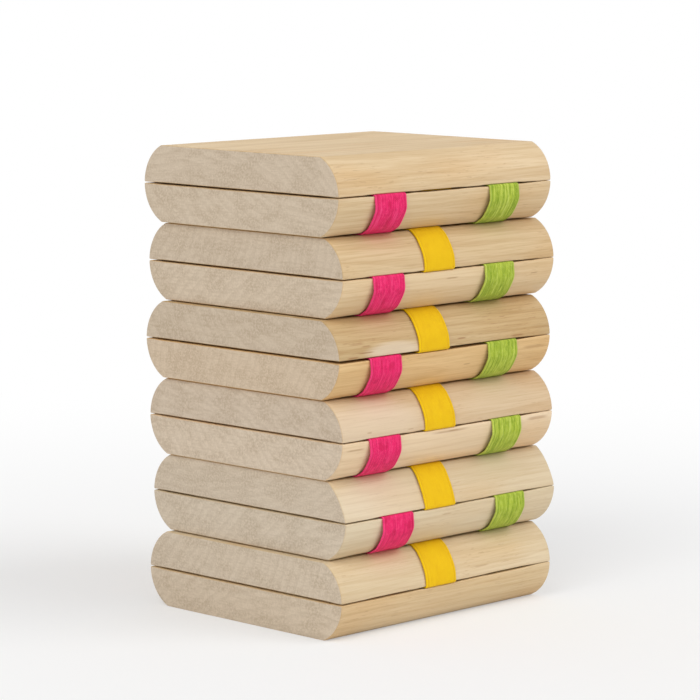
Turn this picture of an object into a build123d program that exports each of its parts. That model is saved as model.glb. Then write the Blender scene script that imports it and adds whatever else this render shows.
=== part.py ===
from build123d import *
import math
import os

# Jacob's ladder: six flat wooden blocks hung on three woven ribbons, stacked flat.
# Each block is two wooden halves glued together with the ribbons caught between them.
# Millimetres. X runs along the blocks' long sides, Y from front to back, Z is up.
# The origin lies on the surface that the stack rests on, under its middle.

# Driving dimensions
block_count = 6
block_length = 70.5
block_width = 64.0
half_thickness = 8.7
edge_inset = 5.8  # how far a block's flat faces stop short of its rounded sides
shoulder_radius = 1.2  # small round where a rounded side meets a flat face
slit_radius = 0.3  # small round where a ribbon comes out between two halves
end_softening = 0.5  # sanded edge round each end face
ribbon_width = 10.0
ribbon_thickness = 0.4
edge_clearance = 0.1  # spare room between two blocks that are folded edge to edge
cut_clearance = 0.05  # between two sections of one ribbon, on bodies that move apart
tail_inset = 4.0  # how far inside an end block each ribbon stops
glue_inset = 3.0  # bare rim round the glue film
glue_clearance = 0.3  # between the glue film and a ribbon

# Where each ribbon's middle crosses the blocks
pink_from_left_end = 14.75
yellow_from_middle = -3.5
green_from_right_end = 16.25

# How far each block has slipped along X, from the top block to the bottom one
block_slip = (-1.1, 0.2, -0.9, 0.1, 1.1, -0.2)

# How far each ribbon wanders from its place, from the top block to the bottom one
ribbon_wander = {
    "pink": (0.3, -0.2, -1.1, -1.3, 2.9, 1.2),
    "yellow": (0.4, -0.6, -2.3, -0.2, 0.0, 0.2),
    "green": (-1.5, -3.0, -1.8, -0.2, 1.1, 0.6),
}

# Sides of a block and halves of a block, as signs along Y and Z
FRONT, BACK = -1, 1
UPPER, LOWER = 1, -1

# A ribbon's middle block wraps: the side and the half that it rolls over.
# Pink and green leave the front slit downwards and come in at the back from above.
# Yellow leaves the front slit upwards and comes in at the back from below.
ribbon_wraps = {
    "pink": {"below": (FRONT, LOWER), "above": (BACK, UPPER)},
    "yellow": {"below": (BACK, LOWER), "above": (FRONT, UPPER)},
    "green": {"below": (FRONT, LOWER), "above": (BACK, UPPER)},
}

# Worked out from the driving dimensions
block_thickness = 2 * half_thickness + ribbon_thickness
block_pitch = block_thickness + ribbon_thickness
outer_height = block_thickness / 2

# A side is rounded about a line level with the glued joint. From there a small round turns
# into the slit and another one into the flat face. Turns are in degrees above level.
edge_radius = (outer_height**2 + edge_inset**2) / (2 * edge_inset)
edge_middle = block_width / 2 - edge_radius
slit_height = ribbon_thickness / 2 + slit_radius
slit_turn = math.degrees(math.asin(slit_height / (edge_radius - slit_radius)))
slit_mouth = edge_middle + math.sqrt((edge_radius - slit_radius) ** 2 - slit_height**2)
shoulder_height = outer_height - shoulder_radius
shoulder_turn = math.degrees(math.asin(shoulder_height / (edge_radius - shoulder_radius)))
flat_half_width = edge_middle + math.sqrt((edge_radius - shoulder_radius) ** 2 - shoulder_height**2)
run_half_width = flat_half_width - cut_clearance
ribbon_place = {
    "pink": pink_from_left_end - block_length / 2,
    "yellow": yellow_from_middle,
    "green": block_length / 2 - green_from_right_end,
}

os.makedirs("parts", exist_ok=True)


def block_middle(block):
    """Height of the glued joint in the middle of a block, counted from the top block."""
    return block_thickness / 2 + (block_count - block) * block_pitch


def below_block(block):
    """Height of the middle of the ribbons that lie under a block."""
    return block_middle(block) - block_pitch / 2


def slip_of(block):
    """How far a block has slipped along X."""
    return block_slip[(block - 1) % len(block_slip)]


def ribbon_x(colour, block):
    """Where a ribbon's middle crosses a block, along X."""
    wander = ribbon_wander[colour]
    return ribbon_place[colour] + wander[(block - 1) % len(wander)]


def across(x, z):
    """A plane that looks along X, with Y to its right and Z up."""
    return Plane((x, 0, z), x_dir=(0, 1, 0), z_dir=(1, 0, 0))


def save(part, name):
    """Label a finished piece and write it."""
    part.label = name
    export_step(part, f"parts/{name}.step")


def roll_over(side, level, lift):
    """Line along a half's inner face, out over its side and onto its flat face.

    lift is how far the line runs off the wood.
    """
    inner = level * (ribbon_thickness / 2 - lift)
    slit = Line((0, inner), (side * slit_mouth, inner))
    turning = side * level
    out = JernArc(slit @ 1, slit % 1, slit_radius + lift, turning * (90 + slit_turn))
    rolled = JernArc(out @ 1, out % 1, edge_radius + lift, turning * (shoulder_turn - slit_turn))
    return JernArc(rolled @ 1, rolled % 1, shoulder_radius + lift, turning * (90 - shoulder_turn))


def make_half(block, level, name):
    """One wooden half: flat inside and outside, with its two long sides rounded."""
    x = slip_of(block) - block_length / 2
    with BuildPart() as half:
        with BuildSketch(across(x, block_middle(block))):
            with BuildLine() as outline:
                shoulder = roll_over(BACK, level, 0)
                Line(shoulder @ 1, (0, level * outer_height))
                mirror(outline.line, about=Plane.YZ)
            make_face()
        extrude(amount=block_length)
        ends = half.faces().filter_by(Axis.X).sort_by(Axis.X)
        fillet(ends[0].edges() + ends[-1].edges(), radius=end_softening)
    save(half.part, name)


def make_glue_film(block, name):
    """The glue between two halves, in strips beside and between the ribbons."""
    with BuildPart() as film:
        with BuildSketch(Plane.XY.offset(block_middle(block))):
            with Locations((slip_of(block), 0)):
                Rectangle(block_length - 2 * glue_inset, block_width - 2 * glue_inset)
            with Locations(*[(ribbon_x(colour, block), 0) for colour in ribbon_place]):
                Rectangle(ribbon_width + 2 * glue_clearance, block_width, mode=Mode.SUBTRACT)
        extrude(amount=ribbon_thickness / 2, both=True)
    save(film.part, name)


def make_ribbon_in_block(colour, block, name):
    """The section of a ribbon that is caught in a block and wraps its edges."""
    wraps = ribbon_wraps[colour]
    used = []
    if block < block_count:
        used.append(wraps["below"])
    if block > 1:
        used.append(wraps["above"])
    with BuildPart() as section:
        with BuildSketch(across(ribbon_x(colour, block), block_middle(block))):
            with BuildLine():
                for side, level in used:
                    roll_over(side, level, ribbon_thickness / 2)
                if len(used) == 1:
                    Line((0, 0), (-used[0][0] * (block_width / 2 - tail_inset), 0))
            trace(line_width=ribbon_thickness)
        extrude(amount=ribbon_width / 2, both=True)
    save(section.part, name)


def make_ribbon_run(upper_block, front, back, name):
    """A flat length of ribbon under a block. front and back are its two ends, (x, y)."""
    half_width = ribbon_width / 2
    with BuildPart() as run:
        with BuildSketch(Plane.XY.offset(below_block(upper_block))):
            with BuildLine():
                Polyline(
                    (front[0] - half_width, front[1]),
                    (front[0] + half_width, front[1]),
                    (back[0] + half_width, back[1]),
                    (back[0] - half_width, back[1]),
                    close=True,
                )
            make_face()
        extrude(amount=ribbon_thickness / 2, both=True)
    save(run.part, name)


def make_block(block):
    """Both halves of a block, the glue between them and the ribbons caught in it."""
    make_half(block, UPPER, f"block_{block}_upper_half")
    make_half(block, LOWER, f"block_{block}_lower_half")
    make_glue_film(block, f"block_{block}_glue_film")
    for colour in ribbon_place:
        make_ribbon_in_block(colour, block, f"{colour}_ribbon_in_block_{block}")


def make_runs(block):
    """The ribbons between a block and the next one down.

    Pink and green cross in one length. Yellow crosses as a front and a back length,
    because its front end rolls on the lower block and its back end on the upper one.
    """
    upper, lower = block, block + 1
    for colour in ("pink", "green"):
        front = (ribbon_x(colour, upper), -run_half_width)
        back = (ribbon_x(colour, lower), run_half_width)
        make_ribbon_run(block, front, back, f"{colour}_ribbon_run_{upper}_to_{lower}")
    front_x, back_x = ribbon_x("yellow", lower), ribbon_x("yellow", upper)
    middle = ((front_x + back_x) / 2, 0)
    name = f"yellow_ribbon_run_{upper}_to_{lower}"
    make_ribbon_run(block, (front_x, -run_half_width), middle, f"{name}_front")
    make_ribbon_run(block, middle, (back_x, run_half_width), f"{name}_back")


for block in range(1, block_count + 1):
    make_block(block)
for block in range(1, block_count):
    make_runs(block)

# Where the blocks turn: each fold's line runs along X, half the folded gap outside
# the block's side and level with the ribbons under the upper block.
fold_gap = ribbon_thickness + edge_clearance
fold_line_y = block_width / 2 + fold_gap / 2
for block in range(1, block_count):
    height = below_block(block)
    print(f"fold {block} to {block + 1}: y = -/+{fold_line_y:.3f}, z = {height:.3f}")
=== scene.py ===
import math

import bmesh
import bpy
from mathutils import Matrix, Vector, noise


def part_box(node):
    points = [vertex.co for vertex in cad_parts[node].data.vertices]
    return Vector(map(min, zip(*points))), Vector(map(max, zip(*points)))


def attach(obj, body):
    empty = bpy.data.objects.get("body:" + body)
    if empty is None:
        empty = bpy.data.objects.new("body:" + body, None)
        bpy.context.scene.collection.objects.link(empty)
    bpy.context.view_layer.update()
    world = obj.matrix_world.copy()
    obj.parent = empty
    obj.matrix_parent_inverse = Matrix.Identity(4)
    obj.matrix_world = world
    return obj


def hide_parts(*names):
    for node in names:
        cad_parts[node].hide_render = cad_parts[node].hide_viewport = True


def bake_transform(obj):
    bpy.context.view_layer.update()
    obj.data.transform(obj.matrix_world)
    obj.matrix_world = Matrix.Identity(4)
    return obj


# A Jacob's ladder: six wooden blocks, each two glued halves, stacked flat and hung together
# on pink, yellow and green ribbons. Everything is in metres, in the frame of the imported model.
# X runs along the blocks, Y from front to back and Z up.

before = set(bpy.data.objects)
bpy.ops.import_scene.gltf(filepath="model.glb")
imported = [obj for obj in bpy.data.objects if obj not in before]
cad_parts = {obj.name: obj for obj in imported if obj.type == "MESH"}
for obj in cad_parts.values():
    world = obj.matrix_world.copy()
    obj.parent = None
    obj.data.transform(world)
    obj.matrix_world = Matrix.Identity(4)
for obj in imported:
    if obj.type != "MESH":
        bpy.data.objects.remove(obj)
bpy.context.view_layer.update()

MM = 0.001

# Sides of a block and halves of a block, as signs along Y and Z
FRONT, BACK = -1, 1
UPPER, LOWER = 1, -1
HALF_NAMES = {UPPER: "upper", LOWER: "lower"}
COLOURS = ("pink", "yellow", "green")

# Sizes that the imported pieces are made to
block_count = 6
block_half_width = 32.0 * MM
edge_inset = 5.8 * MM
shoulder_radius = 1.2 * MM
slit_radius = 0.3 * MM
ribbon_width = 10.0 * MM
ribbon_thickness = 0.4 * MM

# How finely a half is cut: along it, in degrees round its sawn ends, its side and its slit's
# edge, over its shoulder and its flat face, and from its inner face to its outer one
station_step = 1.2 * MM
end_angles = (90, 60, 30)
side_angles = (5, 10, 15, 21, 27, 33, 39, 45, 51, 57)
slit_angles = (15, 40, 65, 90)
shoulder_steps = 3
flat_steps = 16
half_rows = 4

# The round that softens a half's sawn ends, and the smallest that it leaves at the slit
end_softening = 0.28 * MM
least_slit_radius = 0.02 * MM

# Sides that were sanded flatter than the others, from 0 for the common round to 1 for straight.
# It sets in between two distances from the block's middle.
flatter_sides = {(5, UPPER, FRONT): 0.45}
flatter_zone = (15 * MM, 26 * MM)

# How far the sanded wood lies inside its nominal shape, and the height and the period of the
# slow and the quick waves in it
sanded_off = 0.035 * MM
slow_wave, slow_period = 0.03 * MM, (26 * MM, 9 * MM, 9 * MM)
quick_wave, quick_period = 0.012 * MM, (5 * MM, 3 * MM, 3 * MM)

# Near its long edges a half's inner face has a lip towards the other half, which comes in between
# two distances from the block's middle. Its height, how much that varies, and the period of that
# along X, along Y and from block to block
lip_zone = (26 * MM, 31 * MM)
lip_height = 0.085 * MM
lip_wave, lip_period = 0.03 * MM, (14 * MM, 40 * MM, 1.0)

# The lips leave room for a ribbon: they come in between two distances from its middle. They are
# higher at the right front corners, between two distances from the sawn end.
lip_room = (5.4 * MM, 8.5 * MM)
corner_height = 0.18 * MM
corner_reach = (8 * MM, 3 * MM)

# One block's joint gapes at the front, most at the left. Where along X the gape fades, and where
# the lips come in
gaping_block = 3
gape_height = 0.1 * MM
gape_fades = (2 * MM, 30 * MM)
gape_lips = (10 * MM, 32 * MM)

# Near the sawn ends an outer face stands up towards the next block, between two distances from
# the end
crown_height = 0.1 * MM
crown_reach = (8 * MM, 2 * MM)

# How far a ribbon that wraps an edge reaches into its slit, to meet the strip caught there
slit_overlap = 1.6 * MM

# How far a slack ribbon stands off the rounded side of an upper and of a lower half, and at
# which heights from the joint that starts and ends
ribbon_slack = {UPPER: 0.2 * MM, LOWER: 0.8 * MM}
slack_starts = (0.3 * MM, 4.0 * MM)
slack_ends = (7.4 * MM, 9.0 * MM)

# How far a ribbon has run askew, towards +X, where it rolls over the front of either half
front_lean = {UPPER: 1.0 * MM, LOWER: 1.4 * MM}

# Room in the middle of a gap, where the front and the back section of a ribbon meet
section_gap = 0.02 * MM

# How finely a ribbon is cut: in its slit, over the slit's edge, the side and the shoulder, along
# the flat face, where it is caught, and across it, with closer steps towards its edges
slit_steps = 3
slit_edge_steps = 6
side_steps = 18
ribbon_shoulder_steps = 4
face_steps = 22
caught_steps = 20
across_steps = 24
across_power = 0.8

# Half of a ribbon's thickness and how much thinner its woven edges are, as shares of the whole.
# The edges start at a share of its half width.
half_thickness_share = 0.45
edge_thinning = 0.23
thin_edge_start = 0.965

# The thicker thread beside each edge: its height, where it is and how wide, as shares of the
# half width
cord_height = 0.035 * MM
cord_place = 0.93
cord_width = 0.035

# Ripples in a ribbon's face and waves in its edges: their heights, and their periods across the
# ribbon and along it
ripple_height, ripple_period = 0.018 * MM, (1.4 * MM, 9 * MM, 1.0)
edge_wave, edge_period = 0.07 * MM, (1.0, 7 * MM, 1.0)
edge_seed_step = 9.0


def half_box(block, level):
    """Lowest and highest corner of one wooden half."""
    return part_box(f"block_{block}_{HALF_NAMES[level]}_half")


def block_middle(block):
    """Height of the glued joint of a block."""
    return (half_box(block, UPPER)[0].z + half_box(block, LOWER)[1].z) / 2


def half_seed(block, level):
    """A number of its own for each half."""
    return block * 2 + (level == UPPER)


def ribbon_x(colour, block):
    """Where a ribbon's middle crosses a block, along X."""
    low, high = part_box(f"{colour}_ribbon_in_block_{block}")
    return (low.x + high.x) / 2


block_pitch = block_middle(1) - block_middle(2)
outer_height = half_box(1, UPPER)[1].z - block_middle(1)
ribbon_middles = {block: [ribbon_x(colour, block) for colour in COLOURS]
                  for block in range(1, block_count + 1)}

# A side is rounded about a line level with the glued joint. From there a small round turns
# into the slit and another one into the flat face. Turns are angles above level.
edge_radius = (outer_height ** 2 + edge_inset ** 2) / (2 * edge_inset)
edge_middle = block_half_width - edge_radius
shoulder_height = outer_height - shoulder_radius
shoulder_turn = math.asin(shoulder_height / (edge_radius - shoulder_radius))
flat_half_width = edge_middle + math.sqrt((edge_radius - shoulder_radius) ** 2 - shoulder_height ** 2)


# Helpers

# How far a seed of 1 shifts the noise along each axis, in periods
seed_shift = (7.3, 3.1, -5.7)


def wave_noise(point, period, seed=0.0):
    """Smooth noise from -1 to 1 whose bumps are about a period apart along each axis."""
    return noise.noise(Vector([place / size + seed * shift
                               for place, size, shift in zip(point, period, seed_shift)]))


def smooth_step(value, low, high):
    """0 below low, 1 above high and a smooth rise between them."""
    share = min(1.0, max(0.0, (value - low) / (high - low)))
    return share * share * (3 - 2 * share)


def lattice_skin(name, counts, place):
    """Closed skin of a box-shaped lattice. place(i, j, k) gives a lattice point's position.

    Returns the new piece and each vertex's (i, j, k).
    """
    index = {}
    points = []

    def corner(key):
        if key not in index:
            index[key] = len(points)
            points.append(place(*key))
        return index[key]

    faces = []
    for axis in range(3):
        along, up = (axis + 1) % 3, (axis + 2) % 3
        for side in (0, counts[axis]):
            for a in range(counts[along]):
                for b in range(counts[up]):
                    ring = []
                    for step_a, step_b in ((0, 0), (1, 0), (1, 1), (0, 1)):
                        key = [0, 0, 0]
                        key[axis] = side
                        key[along] = a + step_a
                        key[up] = b + step_b
                        ring.append(corner(tuple(key)))
                    faces.append(ring if side else ring[::-1])
    mesh = bpy.data.meshes.new(name)
    mesh.from_pydata(points, [], faces)
    work = bmesh.new()
    work.from_mesh(mesh)
    bmesh.ops.recalc_face_normals(work, faces=work.faces)
    work.to_mesh(mesh)
    work.free()
    mesh.shade_smooth()
    piece = bpy.data.objects.new(name, mesh)
    bpy.context.scene.collection.objects.link(piece)
    return piece, list(index)


# Shader nodes

class Shader:
    """Adds nodes to a material and links them."""

    def __init__(self, name):
        self.material = bpy.data.materials.new(name)
        self.material.use_nodes = True
        self.nodes = self.material.node_tree.nodes
        self.links = self.material.node_tree.links
        self.surface = self.nodes["Principled BSDF"]

    def add(self, kind, **settings):
        node = self.nodes.new(kind)
        for key, value in settings.items():
            setattr(node, key, value)
        return node

    def feed(self, socket, value):
        """Links another node's output to a socket, or sets the socket's own value."""
        if isinstance(value, bpy.types.NodeSocket):
            self.links.new(value, socket)
        else:
            socket.default_value = value

    def math(self, operation, *values):
        node = self.add("ShaderNodeMath", operation=operation)
        for socket, value in zip(node.inputs, values):
            self.feed(socket, value)
        return node.outputs[0]

    def squares(self, first, second):
        """The sum of two squares."""
        return self.math("ADD", self.math("POWER", first, 2.0), self.math("POWER", second, 2.0))

    def vector(self, operation, first, second):
        node = self.add("ShaderNodeVectorMath", operation=operation)
        self.feed(node.inputs[0], first)
        self.feed(node.inputs[1], second)
        return node.outputs[0]

    def split(self, vector):
        node = self.add("ShaderNodeSeparateXYZ")
        self.feed(node.inputs[0], vector)
        return node.outputs

    def noise(self, vector, scale=1.0, detail=2.0, roughness=0.5):
        node = self.add("ShaderNodeTexNoise")
        self.feed(node.inputs["Vector"], vector)
        self.feed(node.inputs["Scale"], scale)
        self.feed(node.inputs["Detail"], detail)
        self.feed(node.inputs["Roughness"], roughness)
        return node.outputs["Fac"]

    def noises(self, position, settings):
        """Named noises, from each one's bumps to a mm along each axis, finer layers and roughness."""
        return {name: self.noise(self.vector("MULTIPLY", position, density), 1.0, detail, roughness)
                for name, (density, detail, roughness) in settings.items()}

    def rise(self, value, low, high, start=0.0, end=1.0):
        """A smooth change from start to end while a value goes from low to high."""
        node = self.add("ShaderNodeMapRange", interpolation_type="SMOOTHSTEP")
        for socket, number in zip(node.inputs, (value, low, high, start, end)):
            self.feed(socket, number)
        return node.outputs["Result"]

    def mix(self, share, first, second):
        node = self.add("ShaderNodeMix", data_type="RGBA")
        self.feed(node.inputs[0], share)
        self.feed(node.inputs[6], first)
        self.feed(node.inputs[7], second)
        return node.outputs[2]

    def lay(self, under, over, value, low, high, strength):
        """One colour laid over another, up to a strength, as a value goes from low to high."""
        return self.mix(self.rise(value, low, high, 0.0, strength), under, over)

    def between(self, share, first, second):
        node = self.add("ShaderNodeMix", data_type="FLOAT")
        self.feed(node.inputs[0], share)
        self.feed(node.inputs[2], first)
        self.feed(node.inputs[3], second)
        return node.outputs[0]

    def bump(self, height, distance):
        node = self.add("ShaderNodeBump")
        self.feed(node.inputs["Height"], height)
        self.feed(node.inputs["Distance"], distance)
        return node.outputs["Normal"]


def linear(red, green, blue):
    """A colour written as 0 to 255 on screen, as a shader takes it."""
    def channel(value):
        value /= 255
        return value / 12.92 if value <= 0.04045 else ((value + 0.055) / 1.055) ** 2.4
    return (channel(red), channel(green), channel(blue), 1.0)


def shaded(colour, shares):
    """A colour whose red, green and blue are multiplied by three shares, up to white."""
    return tuple(min(1.0, channel * share) for channel, share in zip(colour, shares)) + (1.0,)


# Wood

# What each half's wood is like: its colour on screen, where the tree's middle lies from the
# block's middle in mm along Y and Z, how strongly its grain shows, and how strong its brown
# streaks are near the glued joint
wood_looks = {
    (1, UPPER): {"tone": (216, 190, 150), "pith": (18, -46), "grain": 0.8, "streaks": 0.25},
    (1, LOWER): {"tone": (217, 191, 150), "pith": (-30, 52), "grain": 0.7, "streaks": 0.2},
    (2, UPPER): {"tone": (208, 181, 139), "pith": (64, 30), "grain": 0.9, "streaks": 0.3},
    (2, LOWER): {"tone": (222, 195, 153), "pith": (-40, -60), "grain": 0.6, "streaks": 0.1},
    (3, UPPER): {"tone": (196, 168, 123), "pith": (-26, 38), "grain": 1.0, "streaks": 0.6},
    (3, LOWER): {"tone": (221, 185, 131), "pith": (-70, -34), "grain": 0.8, "streaks": 0.15},
    (4, UPPER): {"tone": (209, 183, 147), "pith": (36, -70), "grain": 0.55, "streaks": 0.1},
    (4, LOWER): {"tone": (229, 204, 168), "pith": (-52, 40), "grain": 0.45, "streaks": 0.1},
    (5, UPPER): {"tone": (211, 191, 157), "pith": (20, 84), "grain": 0.5, "streaks": 0.1},
    (5, LOWER): {"tone": (215, 197, 164), "pith": (-44, -52), "grain": 0.5, "streaks": 0.1},
    (6, UPPER): {"tone": (214, 193, 157), "pith": (58, 36), "grain": 0.6, "streaks": 0.2},
    (6, LOWER): {"tone": (214, 189, 148), "pith": (-24, -64), "grain": 0.7, "streaks": 0.3},
}

# Brown dashes and bands in the grain of the front sides, in mm: where each starts and ends
# along X, its height above the glued joint, half its thickness, and how strong it is
brown_dashes = {
    (2, LOWER): ((-2.0, 3.0, -2.2, 0.22, 0.5), (27.5, 30.5, -3.2, 0.22, 0.5)),
    (3, UPPER): ((-30.5, -24.6, 1.5, 0.24, 0.7), (-34.0, -29.5, 0.7, 0.26, 0.7),
                 (-29.0, -25.5, 2.9, 0.22, 0.5), (-33.0, -27.0, 3.6, 0.4, 0.3),
                 (2.0, 5.5, 1.9, 0.24, 0.6), (20.0, 25.5, 0.9, 0.35, 0.6)),
    (3, LOWER): ((5.0, 8.0, -4.4, 0.2, 0.45), (24.0, 33.5, -2.3, 0.5, 0.35)),
    (4, UPPER): ((-27.5, -25.5, 1.6, 0.25, 0.35), (-14.5, -12.0, 1.0, 0.22, 0.4)),
    (4, LOWER): ((-7.5, 7.5, -1.0, 0.42, 0.45), (25.5, 34.5, -1.2, 0.6, 0.42),
                 (-34.5, -27.5, -1.9, 0.35, 0.45), (-1.0, 3.0, -0.9, 0.25, 0.4)),
    (5, LOWER): ((-3.0, 1.0, -1.9, 0.25, 0.3),),
    (6, UPPER): ((8.0, 14.0, 2.4, 0.35, 0.35),),
}

# Pale patches in the same sides, in mm: middle along X, height above the joint, half sizes and
# how strong they are
pale_patches = {
    (3, UPPER): (-18.5, 1.3, 9.0, 1.8, 0.45),
    (4, UPPER): (-25.0, 3.2, 17.0, 4.5, 0.3),
    (5, UPPER): (-23.0, 4.0, 15.0, 4.5, 0.22),
}

# Colours on screen of the brown marks, the pale patches and the sawn ends
brown_tone = (150, 102, 58)
patch_tone = (236, 222, 202)
# The sawn ends' tone is partly their own greyish end grain and partly a painted reflection, a pale grey haze
sawn_tone_with_reflection = (203, 188, 170)

# Shares of a half's own red, green and blue in the shades of its sides
side_shades = {"dark": (0.78, 0.68, 0.54), "light": (1.09, 1.12, 1.19), "warm": (1.0, 0.90, 0.78)}

# The sawn ends' colour is a share of the half's own and a share of the common one. It has shades
# of its own.
sawn_shares = (0.252, 0.7)
sawn_dark, sawn_light = (0.76, 0.72, 0.67), (1.14, 1.16, 1.19)

# The noises in the wood, for Shader.noises
wood_noises = {
    "wander": ((0.012, 0.05, 0.05), 2.0, 0.5),
    "fibre": ((0.04, 1.7, 1.7), 3.0, 0.65),
    "thread": ((0.1, 4.4, 4.4), 2.0, 0.6),
    "broad": ((0.02, 0.16, 0.16), 1.0, 0.5),
    "patch": ((0.03, 0.09, 0.09), 1.0, 0.5),
    "fleck": ((0.3, 3.4, 3.4), 2.0, 0.55),
    "streak": ((0.09, 2.2, 2.2), 3.0, 0.65),
    "speckle": ((2.0, 2.0, 2.0), 3.0, 0.7),
    "cloud": ((0.1, 0.14, 0.3), 2.0, 0.5),
    "saw": ((1.0, 0.25, 2.6), 2.0, 0.5),
}

# How far a seed of 1 shifts the wood's noises along each axis, in mm
wood_seed_shift = (37.1, 61.7, 23.9)

# Layers of the wood's colour, from the lowest up: the noise that each follows, the values
# between which it comes in, how strong it gets and its shade. The strength of the grain's layers
# is multiplied by that of the half's own grain.
ground_layers = (("broad", 0.3, 0.7, 1.0, "light"),
                 ("patch", 0.45, 0.75, 0.8, "warm"))
grain_layers = (("fibre", 0.46, 0.66, 0.42, "dark"),
                ("fibre", 0.46, 0.32, 0.42, "light"),
                ("thread", 0.5, 0.7, 0.4, "dark"),
                ("thread", 0.47, 0.32, 0.4, "light"))

# Growth rings: their width and how far they wander in mm, how much the tree's middle leans along
# X towards Y and Z, and where in a ring its dark late wood comes in and goes
ring_width = 2.2
ring_wander = 7.0
pith_lean = (0.02, 0.012)
late_wood_starts = (0.3, 0.88)
late_wood_ends = (1.0, 0.93)

# How strongly late wood, brown streaks and flecks and the line round the sawn ends show
late_wood_strength = 0.34
sawn_late_wood_strength = 0.2
streak_strength = 0.6
fleck_strength = 0.4
rim_strength = 0.35

# Places in mm: where the front side starts along Y, and at which heights the streaks show
front_starts = (-22.0, -25.0)
streak_heights = (4.5, 0.8)

# How far the fibres make the marks' outlines ragged, in mm, and how much of that dashes take
raggedness = 1.2
dash_raggedness = 0.35

wood_relief = 0.06 * MM


def growth_rings(shader, x, y, height, wander, pith):
    """How much late wood there is at a point, from its distance to the tree's middle."""
    ring_y = shader.math("ADD", y, shader.math("MULTIPLY_ADD", x, pith_lean[0], -pith[0]))
    ring_z = shader.math("ADD", height, shader.math("MULTIPLY_ADD", x, pith_lean[1], -pith[1]))
    distance = shader.math("SQRT", shader.squares(ring_y, ring_z))
    distance = shader.math("MULTIPLY_ADD", wander, ring_wander, distance)
    ring = shader.math("FRACT", shader.math("DIVIDE", distance, ring_width))
    return shader.math("MULTIPLY", shader.rise(ring, *late_wood_starts), shader.rise(ring, *late_wood_ends))


def pale_patch(shader, x, height, ragged, patch):
    """How strongly a pale patch shows at a point."""
    middle_x, middle_height, half_length, half_height, strength = patch
    off_x = shader.math("ADD", shader.math("SUBTRACT", x, middle_x), ragged)
    off_z = shader.math("ADD", shader.math("SUBTRACT", height, middle_height), ragged)
    away = shader.squares(shader.math("DIVIDE", off_x, half_length),
                          shader.math("DIVIDE", off_z, half_height))
    return shader.rise(away, 1.5, 0.3, 0.0, strength)


def brown_dash(shader, x, height, ragged, dash):
    """How strongly a brown dash shows at a point."""
    first, last, middle_height, half_height, strength = dash
    half_length = (last - first) / 2
    off_x = shader.math("ABSOLUTE", shader.math("SUBTRACT", x, (first + last) / 2))
    off_z = shader.math("MULTIPLY_ADD", ragged, dash_raggedness,
                        shader.math("SUBTRACT", height, middle_height))
    near_z = shader.rise(shader.math("ABSOLUTE", off_z), half_height, half_height * 0.2)
    near_x = shader.rise(off_x, half_length, half_length * 0.35)
    return shader.math("MULTIPLY", shader.math("MULTIPLY", near_z, near_x), strength)


def sawn_colour_with_reflection(shader, tone, noises, late_wood):
    """The sawn ends: mottled, and greyer than the sides, partly end grain and partly painted reflection."""
    own_share, common_share = sawn_shares
    # The common tone carries the painted reflection: a pale grey haze over the end grain
    grey = tuple(own_share * own + common_share * common
                 for own, common in zip(tone[:3], linear(*sawn_tone_with_reflection))) + (1.0,)
    dark, light = shaded(grey, sawn_dark), shaded(grey, sawn_light)
    colour = shader.lay(light, dark, noises["speckle"], 0.36, 0.64, 1.0)
    colour = shader.mix(0.4, colour, grey)
    colour = shader.lay(colour, light, noises["cloud"], 0.38, 0.62, 0.55)
    colour = shader.lay(colour, dark, noises["saw"], 0.5, 0.68, 0.3)
    return shader.mix(shader.math("MULTIPLY", late_wood, sawn_late_wood_strength), colour, dark)


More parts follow.
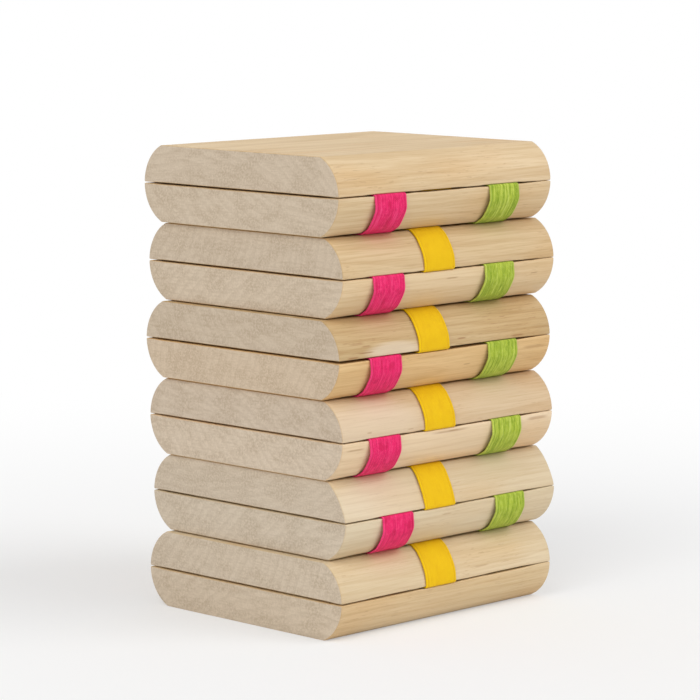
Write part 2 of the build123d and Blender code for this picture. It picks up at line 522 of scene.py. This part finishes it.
def wood_material(block, level):
    """Pale softwood with its grain along X, and end grain on the sawn ends."""
    look = wood_looks[block, level]
    grain = look["grain"]
    seed = half_seed(block, level)
    shader = Shader(f"wood_{block}_{HALF_NAMES[level]}")
    coordinates = shader.add("ShaderNodeTexCoord")
    position = shader.vector("DIVIDE", coordinates.outputs["Object"], (MM, MM, MM))
    x, y, z = shader.split(position)
    height = shader.math("SUBTRACT", z, block_middle(block) / MM)
    shifted = shader.vector("ADD", position, tuple(seed * shift for shift in wood_seed_shift))
    noises = shader.noises(shifted, wood_noises)
    fibre = noises["fibre"]
    late_wood = growth_rings(shader, x, y, height, noises["wander"], look["pith"])

    # Broad changes of tone, the rings and the fibres
    tone = linear(*look["tone"])
    shades = {name: shaded(tone, shares) for name, shares in side_shades.items()}
    colour = tone
    for name, low, high, strength, shade in ground_layers:
        colour = shader.lay(colour, shades[shade], noises[name], low, high, strength)
    late_share = shader.math("MULTIPLY", late_wood, late_wood_strength * grain)
    colour = shader.mix(late_share, colour, shades["dark"])
    for name, low, high, strength, shade in grain_layers:
        colour = shader.lay(colour, shades[shade], noises[name], low, high, strength * grain)

    # Brown streaks beside the glued joint, and flecks
    brown = linear(*brown_tone)
    near_joint = shader.rise(shader.math("ABSOLUTE", height), *streak_heights)
    streaks = shader.math("MULTIPLY", shader.rise(noises["streak"], 0.56, 0.66), near_joint)
    colour = shader.mix(shader.math("MULTIPLY", streaks, streak_strength * look["streaks"]), colour, brown)
    flecks = shader.math("MULTIPLY", shader.rise(noises["fleck"], 0.62, 0.7),
                         shader.rise(noises["patch"], 0.38, 0.6))
    colour = shader.mix(shader.math("MULTIPLY", flecks, fleck_strength * grain), colour, brown)

    # The pale patch and the dashes of the front side
    front = shader.rise(y, *front_starts)
    ragged = shader.math("MULTIPLY_ADD", fibre, raggedness, -raggedness / 2)
    if (block, level) in pale_patches:
        pale = pale_patch(shader, x, height, ragged, pale_patches[block, level])
        colour = shader.mix(shader.math("MULTIPLY", pale, front), colour, linear(*patch_tone))
    for dash in brown_dashes.get((block, level), ()):
        mark = brown_dash(shader, x, height, ragged, dash)
        colour = shader.mix(shader.math("MULTIPLY", mark, front), colour, brown)

    # The sawn ends, greyed partly by a painted reflection, with a thin darker line round them
    facing = shader.math("ABSOLUTE", shader.split(coordinates.outputs["Normal"])[0])
    end = shader.rise(facing, 0.72, 0.96)
    rim = shader.math("MULTIPLY", shader.rise(facing, 0.12, 0.45), shader.rise(facing, 0.98, 0.80))
    colour = shader.mix(end, colour, sawn_colour_with_reflection(shader, tone, noises, late_wood))
    colour = shader.mix(shader.math("MULTIPLY", rim, rim_strength), colour, shades["dark"])

    # Relief: fibres along the grain, a soft fuzz on the ends
    along = shader.math("ADD", shader.math("MULTIPLY", fibre, 0.6),
                        shader.math("MULTIPLY", noises["thread"], 0.4))
    relief = shader.between(end, along, noises["speckle"])
    shader.feed(shader.surface.inputs["Normal"], shader.bump(relief, wood_relief))
    shader.feed(shader.surface.inputs["Base Color"], colour)
    shader.feed(shader.surface.inputs["Roughness"], shader.rise(fibre, 0.2, 0.8, 0.56, 0.72))
    shader.surface.inputs["Specular IOR Level"].default_value = 0.35
    return shader.material


def drawn_in(block, level, side, height):
    """How far a flatter side lies inside the common round, at a height from the joint."""
    height = min(abs(height), outer_height)
    rounded = edge_middle + math.sqrt(edge_radius ** 2 - height ** 2)
    straight = block_half_width - edge_inset * height / outer_height
    return flatter_sides.get((block, level, side), 0.0) * (rounded - straight)


def slit_round(inset):
    """Middle (y, z), radius and last angle of the small round at a slit, drawn in by inset."""
    radius = max(slit_radius - inset, least_slit_radius)
    height = ribbon_thickness / 2 + inset + radius
    reach = edge_radius - inset - radius
    return edge_middle + math.sqrt(reach ** 2 - height ** 2), height, radius, math.asin(height / reach)


def half_profile(inset):
    """Columns across a half: the inner and the outer point of each, as (y, height above the joint).

    inset draws the whole outline in, near the ends.
    """
    mouth, slit_height, radius, _ = slit_round(inset)
    inner = ribbon_thickness / 2 + inset
    large = edge_radius - inset
    small = shoulder_radius - inset
    last = math.degrees(shoulder_turn)
    outside = []
    for angle in side_angles + (last,):
        turn = math.radians(angle)
        outside.append((edge_middle + large * math.cos(turn), large * math.sin(turn)))
    for step in range(1, shoulder_steps + 1):
        turn = math.radians(last + (90 - last) * step / shoulder_steps)
        outside.append((flat_half_width + small * math.cos(turn), shoulder_height + small * math.sin(turn)))
    inside = []
    for angle in slit_angles:
        turn = math.radians(angle)
        inside.append((mouth + radius * math.cos(turn), slit_height - radius * math.sin(turn)))
    inside += [(y, inner) for y, _ in outside[len(inside):]]
    rim = list(zip(inside, outside))
    flats = []
    for step in range(1, flat_steps):
        y = -flat_half_width + 2 * flat_half_width * step / flat_steps
        flats.append(((y, inner), (y, outer_height - inset)))
    return [((-low[0], low[1]), (-high[0], high[1])) for low, high in rim] + flats + rim[::-1]


def end_stations(length):
    """Places along a half, as (x, inset): even steps, and the rounding at each end."""
    inner_length = length / 2 - end_softening
    count = round(2 * inner_length / station_step)
    turns = [math.radians(angle) for angle in end_angles]
    left = [(-length / 2 + end_softening * (1 - math.sin(turn)), end_softening * (1 - math.cos(turn)))
            for turn in turns]
    middle = [(-inner_length + 2 * inner_length * i / count, 0.0) for i in range(count + 1)]
    return left + middle + [(-x, inset) for x, inset in left[::-1]]


def lip(block, level, middle_x, half_length, along, y):
    """How far a half's inner face is from its flat plane, towards the other half."""
    x = middle_x + along
    close = lip_height + lip_wave * wave_noise((x, y, block), lip_period, level * 2.0)
    gape = 0.0
    if block == gaping_block and y < 0:
        close *= smooth_step(x, *gape_lips)
        gape = gape_height * (1 - smooth_step(x, *gape_fades))
    if y < 0 and along > 0:
        start, end = corner_reach
        close += (corner_height - close) * smooth_step(along, half_length - start, half_length - end)
    clear = min(smooth_step(abs(x - middle), *lip_room) for middle in ribbon_middles[block])
    return (close * clear - gape) * smooth_step(abs(y), *lip_zone)


def crown(block, level, along, half_length):
    """How far a half's outer face stands up towards the next block, near its sawn ends."""
    if (block, level) in ((1, UPPER), (block_count, LOWER)):
        return 0.0
    start, end = crown_reach
    return crown_height * smooth_step(abs(along), half_length - start, half_length - end)


def make_half(block, level):
    """One wooden half, a little uneven as sanded wood is."""
    low, high = half_box(block, level)
    middle_x = (low.x + high.x) / 2
    half_length = (high.x - low.x) / 2
    middle_z = block_middle(block)
    stations = end_stations(2 * half_length)
    profiles = {inset: half_profile(inset) for inset in {s[1] for s in stations}}
    columns = len(profiles[0.0]) - 1

    def place(i, j, k):
        x, inset = stations[i]
        inside, outside = profiles[inset][j]
        share = k / half_rows
        y = inside[0] + (outside[0] - inside[0]) * share
        height = inside[1] + (outside[1] - inside[1]) * share
        side = FRONT if y < 0 else BACK
        y -= side * drawn_in(block, level, side, height) * smooth_step(abs(y), *flatter_zone)
        height -= lip(block, level, middle_x, half_length, x, inside[0]) * (1 - share)
        height += crown(block, level, x, half_length) * share * (outside[1] / outer_height) ** 2
        return (middle_x + x, y, middle_z + level * height)

    name = f"block_{block}_{HALF_NAMES[level]}_wood"
    half, _ = lattice_skin(name, (len(stations) - 1, columns, half_rows), place)
    seed = half_seed(block, level)
    mesh = half.data
    normals = [vertex.normal.copy() for vertex in mesh.vertices]
    for vertex, normal in zip(mesh.vertices, normals):
        slow = wave_noise(vertex.co, slow_period, seed)
        quick = wave_noise(vertex.co, quick_period, seed + 0.5)
        vertex.co -= normal * (sanded_off + slow_wave * slow + quick_wave * quick)
    mesh.materials.append(wood_material(block, level))
    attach(half, f"block_{block}")
    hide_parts(f"block_{block}_{HALF_NAMES[level]}_half")


# Ribbons

# Their colour on screen, the darker colour between their threads, the lighter one on top, and
# how strongly the threads, the crossing weave and the uneven dye show
ribbon_looks = {
    "pink": {"tone": (237, 34, 106), "dark": (194, 14, 70), "light": (252, 88, 146),
             "threads": 0.42, "weave": 0.35, "mottle": 0.5},
    "yellow": {"tone": (235, 191, 0), "dark": (214, 156, 0), "light": (244, 207, 10),
               "threads": 0.14, "weave": 0.55, "mottle": 0.2},
    "green": {"tone": (176, 193, 62), "dark": (112, 142, 26), "light": (206, 218, 108),
              "threads": 0.7, "weave": 0.25, "mottle": 0.25},
}

# How far apart its threads lie across a ribbon and along it, in mm
warp_pitch = 0.56
weft_pitch = 0.5

# The noises in a ribbon, for Shader.noises, with X across it and Y along it
ribbon_noises = {
    "streak": ((2.3, 0.07, 1.0), 3.0, 0.7),
    "short": ((2.2, 0.5, 1.0), 2.0, 0.6),
    "cloud": ((0.45, 0.4, 1.0), 3.0, 0.6),
    "grain": ((3.4, 3.0, 1.0), 2.0, 0.6),
}

# Layers of a ribbon's colour, from the lowest up: the pattern that each follows, the values
# between which it comes in, how strong it gets, as a share of what the ribbon's look says, and
# its colour
ribbon_layers = (("streak", 0.52, 0.36, 1.0, "threads", "dark"),
                 ("streak", 0.52, 0.68, 1.0, "threads", "light"),
                 ("short", 0.5, 0.34, 0.7, "threads", "dark"),
                 ("short", 0.54, 0.7, 0.6, "threads", "light"),
                 ("weave", 0.0, -0.9, 1.0, "weave", "dark"),
                 ("grain", 0.5, 0.7, 1.0, "weave", "light"),
                 ("cloud", 0.5, 0.66, 1.0, "mottle", "dark"))

# Distances from a ribbon's middle in mm: the start and the end of the darker line just inside
# each woven edge, and the start of the lighter cord outside it
groove_starts = (4.1, 4.35)
groove_ends = (4.62, 4.4)
cord_starts = (4.5, 4.65)

ribbon_relief = 0.05 * MM


def ribbon_material(colour):
    """Plain woven ribbon. Its mesh carries where each point lies on it, in mm."""
    look = ribbon_looks[colour]
    tone, dark, light = (linear(*look[key]) for key in ("tone", "dark", "light"))
    shader = Shader(f"{colour}_ribbon")
    place = shader.add("ShaderNodeAttribute", attribute_name="ribbon_mm").outputs["Vector"]
    across, along, _ = shader.split(place)
    warp = shader.math("SINE", shader.math("MULTIPLY", across, 2 * math.pi / warp_pitch))
    weft = shader.math("SINE", shader.math("MULTIPLY", along, 2 * math.pi / weft_pitch))
    patterns = shader.noises(place, ribbon_noises)
    patterns["weave"] = shader.math("MULTIPLY", warp, weft)

    shades = {"dark": dark, "light": light}
    result = tone
    for name, low, high, share, strength, shade in ribbon_layers:
        result = shader.lay(result, shades[shade], patterns[name], low, high, share * look[strength])

    # The woven edges: a darker line just inside each and a lighter cord along it
    edge = shader.math("ABSOLUTE", across)
    groove = shader.math("MULTIPLY", shader.rise(edge, *groove_starts), shader.rise(edge, *groove_ends))
    result = shader.mix(shader.math("MULTIPLY", groove, 0.5), result, dark)
    result = shader.lay(result, light, edge, *cord_starts, 0.35)

    # Relief: the weave, its ribs along the ribbon, the longer threads and the groove
    ribs = shader.math("MULTIPLY_ADD", warp, 0.5, 0.5)
    height = shader.math("MULTIPLY_ADD", patterns["weave"], 0.3, shader.math("MULTIPLY", ribs, 0.3))
    height = shader.math("MULTIPLY_ADD", patterns["streak"], look["threads"], height)
    height = shader.math("SUBTRACT", height, groove)
    shader.feed(shader.surface.inputs["Normal"], shader.bump(height, ribbon_relief))
    shader.feed(shader.surface.inputs["Base Color"], result)
    shader.surface.inputs["Roughness"].default_value = 0.7
    shader.surface.inputs["Specular IOR Level"].default_value = 0.2
    shader.surface.inputs["Sheen Weight"].default_value = 0.04
    shader.surface.inputs["Sheen Roughness"].default_value = 0.4
    return shader.material


def arc(centre, radius, start, end, steps):
    """Points along an arc in the YZ plane, each with the direction out of it. Angles in degrees."""
    found = []
    for step in range(1, steps + 1):
        turn = math.radians(start + (end - start) * step / steps)
        out = (math.cos(turn), math.sin(turn))
        found.append(((centre[0] + radius * out[0], centre[1] + radius * out[1]), out))
    return found


def slack_off(level, height):
    """How far a ribbon stands off a half's side, at a height from the joint."""
    share = smooth_step(height, *slack_starts) - smooth_step(height, *slack_ends)
    return ribbon_slack[level] * share


def wrap_path(block, level, side, end_y):
    """A ribbon's middle line from inside a slit, over the block's edge and along its face to end_y.

    It is drawn as for a front slit and a lower half. Points are (y, z) from the block's middle,
    each with the direction away from the wood.
    """
    depth = block_pitch / 2
    lift = ribbon_thickness / 2
    mouth, slit_height, _, slit_turn = slit_round(0.0)
    first, last = 180 + math.degrees(slit_turn), 180 + math.degrees(shoulder_turn)
    flat_y = -flat_half_width
    path = [((-mouth + slit_overlap * (1 - i / slit_steps), 0.0), (0.0, 1.0)) for i in range(slit_steps + 1)]
    path += arc((-mouth, -slit_height), slit_radius + lift, 90, first, slit_edge_steps)
    path += arc((-edge_middle, 0.0), edge_radius + lift, first, last, side_steps)
    path += arc((flat_y, -shoulder_height), shoulder_radius + lift, last, 270, ribbon_shoulder_steps)
    for step in range(1, face_steps + 1):
        path.append(((flat_y + (end_y - flat_y) * step / face_steps, -depth), (0.0, -1.0)))
    return [((y + drawn_in(block, level, side, z) - slack_off(level, -z), z), out) for (y, z), out in path]


def path_lengths(path):
    """How far along a path each of its points lies."""
    lengths = [0.0]
    for (first, _), (second, _) in zip(path, path[1:]):
        lengths.append(lengths[-1] + math.dist(first, second))
    return lengths


def ribbon_along(colour, path, side, level, base_z, centre_of, name, seed, measure):
    """A ribbon section that follows a path in YZ, thinner at its two woven edges.

    measure gives each point's place along the whole ribbon, which its threads and waves follow.
    """
    def spot(j):
        share = 2 * j / across_steps - 1
        return math.copysign(abs(share) ** across_power, share) * ribbon_width / 2

    def place(i, j, k):
        (y, z), (out_y, out_z) = path[i]
        across = spot(j)
        edge = abs(across) / (ribbon_width / 2)
        thinned = edge_thinning * smooth_step(edge, thin_edge_start, 1.0)
        half_thick = ribbon_thickness * (half_thickness_share - thinned)
        cord = cord_height * math.exp(-((edge - cord_place) / cord_width) ** 2)
        ripple = ripple_height * wave_noise((across, measure[i], 0.0), ripple_period, seed)
        off = half_thick + cord + ripple if k else -half_thick
        wobble = edge_wave * wave_noise((0.0, measure[i], 0.0), edge_period, seed + edge_seed_step)
        x = centre_of(y) + across + wobble * edge
        return (x, -side * (y + out_y * off), base_z - level * (z + out_z * off))

    piece, keys = lattice_skin(name, (len(path) - 1, across_steps, 1), place)
    marks = piece.data.attributes.new("ribbon_mm", "FLOAT_VECTOR", "POINT")
    for mark, (i, j, _) in zip(marks.data, keys):
        mark.vector = (spot(j) / MM, measure[i] / MM, seed)
    at_end = [i in (0, len(path) - 1) for i, _, _ in keys]
    for edge in piece.data.edges:
        edge.use_edge_sharp = all(at_end[corner] for corner in edge.vertices)
    piece.data.materials.append(ribbon_materials[colour])
    return piece


def blend_over_edge(piece, side, level):
    """Bakes the placement of a ribbon section that rolls over a block's edge into its mesh."""
    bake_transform(piece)


def make_crossing(colour, upper):
    """A ribbon's way from one block to the next one down, in a front and a back section.

    Pink and green leave the upper block at the front, yellow leaves it at the back.
    """
    lower = upper + 1
    line_z = block_middle(upper) - block_pitch / 2
    leave = BACK if colour == "yellow" else FRONT
    span = f"{upper}_to_{lower}"
    seed = COLOURS.index(colour) * 3.7 + upper * 1.3
    wraps = ((upper, LOWER, leave), (lower, UPPER, -leave))
    total = sum(path_lengths(wrap_path(*wrap, 0.0))[-1] for wrap in wraps)
    for block, level, side in wraps:
        here, other = ribbon_x(colour, block), ribbon_x(colour, lower + upper - block)
        path = wrap_path(block, level, side, -section_gap / 2)
        lengths = path_lengths(path)
        measure = lengths if level == LOWER else [total - length for length in lengths]
        lean = front_lean[level] if side == FRONT else 0.0

        def centre_of(y):
            over_edge = smooth_step(y, -block_half_width, -flat_half_width)
            askew = lean * over_edge * smooth_step(-y, 0.0, flat_half_width)
            return here + (other - here) * smooth_step(y, -flat_half_width, flat_half_width) + askew

        end = "front" if side == FRONT else "back"
        name = f"{colour}_ribbon_{span}_{end}"
        piece = ribbon_along(colour, path, side, level, block_middle(block), centre_of, name, seed, measure)
        if colour == "yellow":
            packed = f"yellow_ribbon_run_{span}_{end}"
        else:
            packed = f"{colour}_ribbon_run_{span}"
        blend_over_edge(piece, side, level)
        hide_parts(packed)


def make_caught_strip(colour, block):
    """The ribbon between a block's two halves."""
    middle = block_middle(block)
    low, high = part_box(f"{colour}_ribbon_in_block_{block}")
    inside = block_half_width - slit_radius - slit_overlap
    front = max(low.y, -inside)
    back = min(high.y, inside)
    path = [((-front + (front - back) * i / caught_steps, 0.0), (0.0, 1.0)) for i in range(caught_steps + 1)]
    centre = ribbon_x(colour, block)
    lengths = path_lengths(path)
    piece = ribbon_along(colour, path, FRONT, LOWER, middle, lambda _: centre,
                         f"{colour}_ribbon_caught_{block}", float(block), lengths)
    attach(piece, f"block_{block}")
    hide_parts(f"{colour}_ribbon_in_block_{block}")


# Glue

def glue_material():
    """Dried wood glue, brown and a little glossy."""
    blotches_per_metre = 400.0
    shader = Shader("dried_glue")
    place = shader.add("ShaderNodeTexCoord").outputs["Object"]
    blotch = shader.noise(place, scale=blotches_per_metre, detail=3.0)
    shader.feed(shader.surface.inputs["Base Color"],
                shader.mix(blotch, linear(150, 112, 70), linear(96, 66, 38)))
    shader.surface.inputs["Roughness"].default_value = 0.4
    shader.feed(shader.surface.inputs["Normal"], shader.bump(blotch, 0.1 * MM))
    return shader.material


# Surroundings

def make_camera():
    """The photograph's viewpoint: a long lens, a little above the stack, on its front left corner."""
    place = Matrix.Translation((-0.5300, -0.5236, 0.1602))
    turn = Matrix.Rotation(math.radians(-45.32), 4, "Z")
    below_level = math.radians(7.66)
    tilt = Matrix.Rotation(math.pi / 2 - below_level, 4, "X")
    lens = bpy.data.cameras.new("camera")
    lens.sensor_width = 36.0
    lens.lens = 164.2
    camera = bpy.data.objects.new("camera", lens)
    camera.matrix_world = place @ turn @ tilt
    bpy.context.scene.collection.objects.link(camera)
    bpy.context.scene.camera = camera


def make_lamp(name, toward, strength):
    """A broad soft lamp a long way off, in the direction that toward points from the toy."""
    data = bpy.data.lights.new(name, "SUN")
    data.angle = math.radians(40)
    data.energy = strength
    lamp = bpy.data.objects.new(name, data)
    lamp.rotation_mode = "QUATERNION"
    lamp.rotation_quaternion = Vector(toward).to_track_quat("Z", "Y")
    bpy.context.scene.collection.objects.link(lamp)


def seen_directly(nodes, links):
    """1 for a ray from the camera, or one that shows the scene in gloss or through glass."""
    rays = nodes.new("ShaderNodeLightPath")
    seen = rays.outputs["Is Camera Ray"]
    for other in ("Is Glossy Ray", "Is Transmission Ray"):
        either = nodes.new("ShaderNodeMath")
        either.operation = "MAXIMUM"
        links.new(seen, either.inputs[0])
        links.new(rays.outputs[other], either.inputs[1])
        seen = either.outputs[0]
    return seen


def make_world():
    """White to look at, and a plain pale light on everything."""
    world = bpy.data.worlds.new("studio")
    world.use_nodes = True
    nodes, links = world.node_tree.nodes, world.node_tree.links
    background = nodes["Background"]
    background.inputs["Color"].default_value = (1.0, 1.0, 1.0, 1.0)
    strength = nodes.new("ShaderNodeMapRange")
    strength.inputs["To Min"].default_value = 0.5
    strength.inputs["To Max"].default_value = 1.0
    links.new(seen_directly(nodes, links), strength.inputs["Value"])
    links.new(strength.outputs["Result"], background.inputs["Strength"])
    bpy.context.scene.world = world


def make_floor():
    """A wide pale floor that takes the toy's shadow and turns into the white background."""
    reach = 3.0
    fade_start, fade_end = 0.06, 0.35
    whiteness_near, whiteness_far = 0.35, 1.0
    mesh = bpy.data.meshes.new("floor")
    corners = [(-reach, -reach, 0), (reach, -reach, 0), (reach, reach, 0), (-reach, reach, 0)]
    mesh.from_pydata(corners, [], [(0, 1, 2, 3)])
    floor = bpy.data.objects.new("floor", mesh)
    bpy.context.scene.collection.objects.link(floor)
    shader = Shader("floor")
    shader.surface.inputs["Base Color"].default_value = (0.9, 0.9, 0.9, 1.0)
    shader.surface.inputs["Roughness"].default_value = 0.9
    place = shader.add("ShaderNodeTexCoord").outputs["Object"]
    distance = shader.add("ShaderNodeVectorMath", operation="LENGTH")
    shader.feed(distance.inputs[0], place)
    white = shader.add("ShaderNodeEmission")
    whiteness = shader.rise(distance.outputs["Value"], fade_start, fade_end, whiteness_near, whiteness_far)
    share = shader.math("MULTIPLY", seen_directly(shader.nodes, shader.links), whiteness)
    blend = shader.add("ShaderNodeMixShader")
    shader.feed(blend.inputs[0], share)
    shader.links.new(shader.surface.outputs[0], blend.inputs[1])
    shader.links.new(white.outputs[0], blend.inputs[2])
    shader.links.new(blend.outputs[0], shader.nodes["Material Output"].inputs["Surface"])
    mesh.materials.append(shader.material)


def make_surroundings():
    """Camera, light and floor."""
    make_camera()
    make_world()
    make_floor()
    make_lamp("key", (0.35, -0.68, 0.64), 1.1)
    make_lamp("fill", (-0.75, -0.25, 0.61), 1.15)
    bpy.context.scene.view_settings.view_transform = "Standard"


make_surroundings()
ribbon_materials = {colour: ribbon_material(colour) for colour in COLOURS}
glue = glue_material()
for block in range(1, block_count + 1):
    for level in (UPPER, LOWER):
        make_half(block, level)
    for colour in COLOURS:
        make_caught_strip(colour, block)
    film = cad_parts[f"block_{block}_glue_film"]
    film.data.materials.clear()
    film.data.materials.append(glue)
for upper in range(1, block_count):
    for colour in COLOURS:
        make_crossing(colour, upper)
